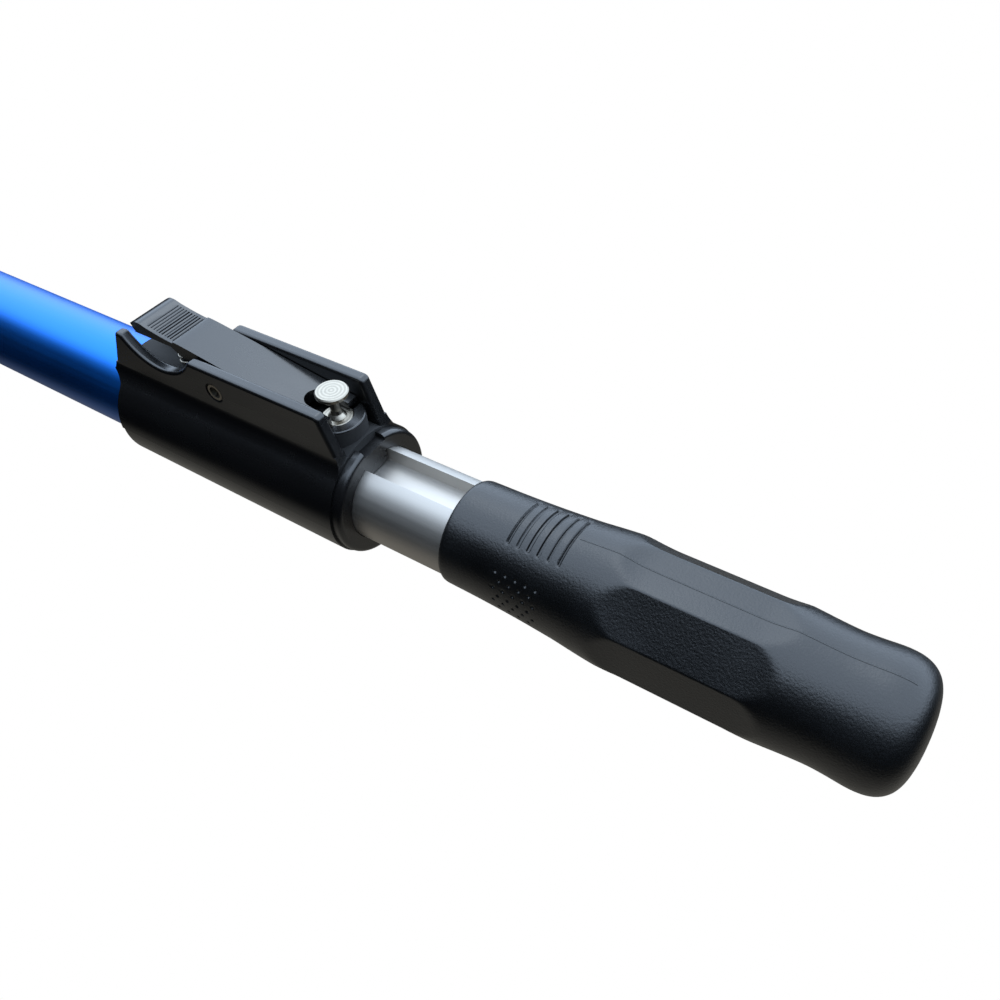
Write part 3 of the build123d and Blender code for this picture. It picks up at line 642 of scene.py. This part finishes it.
@dataclass(frozen=True)
class Studio:
    """Camera, soft light and floor around the pole's hand end."""

    azimuth: float = 36.97
    elevation: float = 45.75
    roll: float = -4.99
    lens: float = 32.22
    sensor: float = 36.0
    near_clip: float = 0.005
    eye: tuple[float, float, float] = (0.1313, -0.1204, 0.1718)
    floor_drop: float = 0.55
    floor_glow: float = 0.26
    pool: tuple[float, float] = (0.55, 1.25)
    sky: tuple[float, float, float] = (0.67, 0.81, 1.0)
    dusk: tuple[float, float, float] = (0.004, 0.004, 0.004)
    sky_strength: float = 2.7
    sky_tilt: tuple[float, float] = (0.78, 0.45)
    sky_edge: tuple[float, float] = (0.17, 0.41)
    floor_colour: tuple[float, float, float] = (1.0, 0.97, 0.88)
    floor_half: float = 8.0
    key_offset: tuple[float, float, float] = (-0.5, 0.9, 1.7)
    key_size: tuple[float, float] = (0.9, 0.9)
    key_colour: tuple[float, float, float] = (0.9, 0.96, 1.0)
    key_watts: float = 4.0

    def camera(self, mouth: Vector) -> None:
        """Places the camera by its offset from the lock's mouth.

        Args:
            mouth: the point on the pole's axis at the mouth of the lock.
        """
        camera = bpy.data.objects.new("camera", bpy.data.cameras.new("camera"))
        bpy.context.scene.collection.objects.link(camera)
        camera.data.lens = self.lens
        camera.data.sensor_width = self.sensor
        camera.data.clip_start = self.near_clip
        turn = (Matrix.Rotation(math.radians(self.azimuth), 4, "Z")
                @ Matrix.Rotation(math.radians(90 - self.elevation), 4, "X")
                @ Matrix.Rotation(math.radians(self.roll), 4, "Z"))
        camera.matrix_world = Matrix.Translation(mouth + Vector(self.eye)) @ turn
        bpy.context.scene.camera = camera

    def panel(self, name: str, place: Vector, aim: Vector, size: tuple[float, float], watts: float,
              colour: tuple[float, float, float]) -> None:
        """A soft rectangular light.

        Args:
            name: the light's name.
            place: its centre.
            aim: the point that it faces.
            size: width and height in metres.
            watts: its power.
            colour: its colour.
        """
        data = bpy.data.lights.new(name, "AREA")
        data.shape = "RECTANGLE"
        data.size, data.size_y = size
        data.energy = watts
        data.color = colour
        light = bpy.data.objects.new(name, data)
        bpy.context.scene.collection.objects.link(light)
        light.matrix_world = (Matrix.Translation(place)
                              @ (aim - place).to_track_quat("-Z", "Y").to_matrix().to_4x4())

    def world(self) -> None:
        """A bright sky that fades towards the near side's horizon."""
        graph = Graph("surround", surround=True)
        bpy.context.scene.world = graph.material
        where = graph.out(graph.node("ShaderNodeTexCoord"), 0)
        _, across, up = graph.axes(where)
        share = graph.span(up * self.sky_tilt[0] + across * self.sky_tilt[1], *self.sky_edge)
        share = share * share * (3.0 - 2.0 * share)
        glow = graph.blend(share, self.dusk, self.sky)
        back = graph.node("ShaderNodeBackground", inputs={
            "Color": glow, "Strength": self.sky_strength})
        seen = graph.node("ShaderNodeLightPath").outputs["Is Camera Ray"]
        white = graph.node("ShaderNodeBackground", inputs={"Color": WHITE, "Strength": 1.0})
        mix = graph.node("ShaderNodeMixShader", inputs={
            0: seen, 1: back.outputs[0], 2: white.outputs[0]})
        graph.node("ShaderNodeOutputWorld", inputs={"Surface": mix.outputs[0]})

    def card(self, name: str, graph: Graph, surface: bpy.types.NodeSocket, size: float,
             place: Matrix) -> None:
        """A large glowing sheet that belongs to the studio.

        Args:
            name: the sheet's name.
            graph: its material.
            surface: the shader socket that the material ends in.
            size: half its width.
            place: its position.
        """
        graph.node("ShaderNodeOutputMaterial", inputs={"Surface": surface})
        mesh = bpy.data.meshes.new(name)
        bm = bmesh.new()
        bmesh.ops.create_grid(bm, x_segments=1, y_segments=1, size=size, matrix=place)
        bm.to_mesh(mesh)
        bm.free()
        mesh.materials.append(graph.material)
        sheet = bpy.data.objects.new(name, mesh)
        bpy.context.scene.collection.objects.link(sheet)

    def floor(self, centre: Vector) -> None:
        """A wide floor, white to the camera and dim in what the pole mirrors."""
        graph = Graph("pale_floor")
        seen = graph.node("ShaderNodeLightPath").outputs["Is Camera Ray"]
        white = graph.node("ShaderNodeEmission", inputs={"Color": WHITE, "Strength": 1.0})
        dim = graph.node("ShaderNodeEmission", inputs={
            "Color": (*self.floor_colour, 1.0), "Strength": self.floor_glow})
        place = graph.place(Vector((centre.x, centre.y, -self.floor_drop)))
        reach = graph.out(graph.node("ShaderNodeVectorMath", {"operation": "LENGTH"}, {0: place}), 1)
        black = graph.node("ShaderNodeEmission", inputs={"Strength": 0.0})
        pool = graph.node("ShaderNodeMixShader", inputs={
            0: graph.span(reach, *self.pool), 1: dim.outputs[0], 2: black.outputs[0]})
        mix = graph.node("ShaderNodeMixShader", inputs={
            0: seen, 1: pool.outputs[0], 2: white.outputs[0]})
        level = Matrix.Translation((centre.x, centre.y, -self.floor_drop))
        self.card("floor", graph, mix.outputs[0], self.floor_half, level)

    def build(self, mouth: Vector) -> None:
        """Sets up the whole studio round the mouth of the lock."""
        self.camera(mouth)
        self.floor(mouth)
        self.world()
        self.panel("key_panel", mouth + Vector(self.key_offset), mouth, self.key_size,
                   self.key_watts, self.key_colour)


def dress(node: bpy.types.Object, material: bpy.types.Material) -> None:
    """Gives a CAD node one finish in all its material slots."""
    for index in range(len(node.material_slots)):
        node.material_slots[index].material = material
    if not node.material_slots:
        node.data.materials.append(material)


def main() -> None:
    """Loads the frame, builds the looks around it and reports each piece."""
    logging.basicConfig(level=logging.INFO, format="%(name)s: %(message)s")
    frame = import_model()
    nodes = frame["nodes"]
    mouth = Vector((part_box("lock_housing")[1].x + COLLAR_DEPTH * MM, 0.0, 0.0))
    low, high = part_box("plunger")
    plunger_centre = ((low.x + high.x) / 2, 0.0, 0.0)
    seam = (mouth.x + SEAM_START * MM, mouth.x + SEAM_END * MM)
    blue = Anodised("blue_anodised", colour=(0.003, 0.20, 0.80), shade=(0.002, 0.165, 0.69),
                    roughness=0.38, coat=0.3).material()
    silver = Anodised("silver_anodised", colour=(0.57, 0.54, 0.50), shade=(0.51, 0.485, 0.45),
                      roughness=0.48).material()
    black = Moulded("black_nylon").material()
    housing = Moulded("housing_nylon", matt_below=0.0225).material()
    head = Moulded("head_nylon", roughness=0.42, grain=0.00002).material()
    rubber = Grained("nose_rubber").material()
    sleeve = Grained("grip_rubber", seam=seam).material()
    steel = Turned("turned_stainless", plunger_centre).material()
    finishes = {
        "outer_tube": blue, "inner_tube": silver, "lock_housing": housing, "guide_bush": black,
        "lever": black, "hook_head": head, "hook_nose": rubber, "grip": sleeve,
        "tail_bush": head, "float_plugs": head, "head_seal": rubber,
    }
    for name, node in nodes.items():
        dress(node, finishes.get(name, steel))
        log.info("dressed %s", name)
    grip = GripSleeve().build(mouth, sleeve)
    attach(grip, "drawtube")
    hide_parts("grip")
    lever = RockingLever().build(nodes["lever"], black)
    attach(lever, "lock_lever")
    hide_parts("lever")
    spring = CoilSpring().build(nodes["lever_spring"], steel)
    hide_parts("lever_spring")
    log.info("built the grip sleeve, the lever and the spring")
    Studio().build(mouth)
    bpy.context.scene.view_settings.view_transform = "Standard"


if __name__ == "__main__":
    main()
